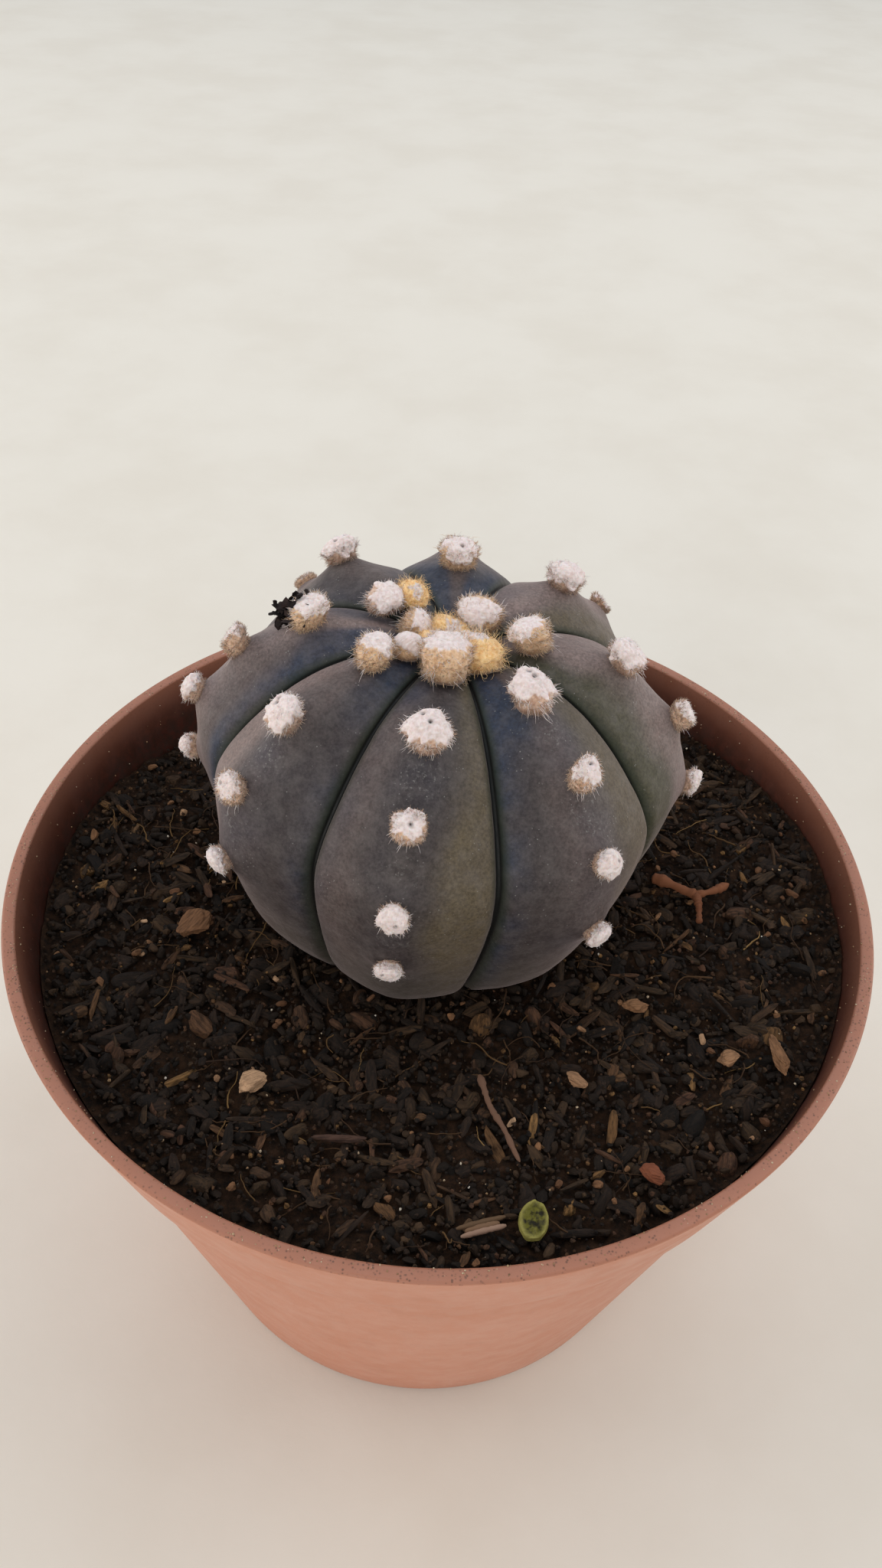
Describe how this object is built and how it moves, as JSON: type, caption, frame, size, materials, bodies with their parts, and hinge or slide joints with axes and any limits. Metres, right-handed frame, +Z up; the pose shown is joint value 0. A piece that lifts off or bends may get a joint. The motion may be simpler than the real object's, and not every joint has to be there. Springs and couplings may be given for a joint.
{
  "type": "potted round cactus",
  "caption": "Round ribbed star cactus with woolly tufts along each rib, rooted in dark potting mix in a tapered plastic nursery pot with a deep collar.",
  "frame": {"origin": "centre of the pot's foot, on the surface the pot stands on", "axes": "+Z up along the pot's axis; -Y is the side the plant is looked at from, and the plant leans a few degrees towards +X"},
  "size_m": [0.11, 0.11, 0.1118],
  "materials": {
    "pot_plastic": "satin terracotta-coloured moulded plastic, finely speckled on the lip, light scuffs",
    "potting_mix": "dark damp fibrous potting mix of bark fines, charcoal and grit",
    "cactus_skin": "matt grey-green skin flushed purple-brown on the ribs and slate blue beside the grooves, fine pale dust",
    "wool": "matted cream wool with a tan, ragged fringe",
    "golden_wool": "young golden-orange wool with white tips",
    "dried_flower": "shrivelled near-black flower remains",
    "bark": "dry brown bark and root",
    "pale_chip": "pale tan chip of bark or grit",
    "clay_chip": "reddish clay-coloured chip",
    "straw": "split straw-coloured fibre",
    "seed_leaf": "small dull green fleshy seed leaf"
  },
  "bodies": {
    "root": {"brown_bark_chip": "bark", "brown_splinter": "bark", "cactus": "cactus_skin", "crown_wool_back_left": "wool", "crown_wool_back_right": "wool", "crown_wool_front": "wool", "crown_wool_front_left": "wool", "crown_wool_golden_back": "golden_wool", "crown_wool_golden_centre": "golden_wool", "crown_wool_golden_left": "golden_wool", "crown_wool_golden_right": "golden_wool", "crown_wool_left": "wool", "crown_wool_right": "wool", "crown_wool_shell": "wool", "crown_wool_white_tip": "wool", "dried_flower": "dried_flower", "forked_rootlet": "bark", "green_seed_leaf": "seed_leaf", "long_tan_chip": "pale_chip", "pale_bark_chip": "pale_chip", "pot": "pot_plastic", "potting_mix": "potting_mix", "straw_sliver": "straw", "tan_chip_front": "pale_chip", "tan_chip_near_stem": "pale_chip", "tan_stone": "pale_chip", "terracotta_chip": "clay_chip", "thin_twig": "bark", "wool_a1": "wool", "wool_a2": "wool", "wool_a3": "wool", "wool_a4": "wool", "wool_b1": "wool", "wool_b2": "wool", "wool_b3": "wool", "wool_b4": "wool", "wool_c1": "wool", "wool_c2": "wool", "wool_c3": "wool", "wool_d1": "wool", "wool_d2": "wool", "wool_d3": "wool", "wool_e1": "wool", "wool_e2": "wool", "wool_e3": "wool", "wool_e4": "wool", "wool_f1": "wool", "wool_f2": "wool", "wool_f3": "wool", "wool_g1": "wool", "wool_g2": "wool", "wool_g3": "wool", "wool_g4": "wool", "wool_h1": "wool", "wool_h2": "wool", "wool_h3": "wool"}
  },
  "joints": []
}
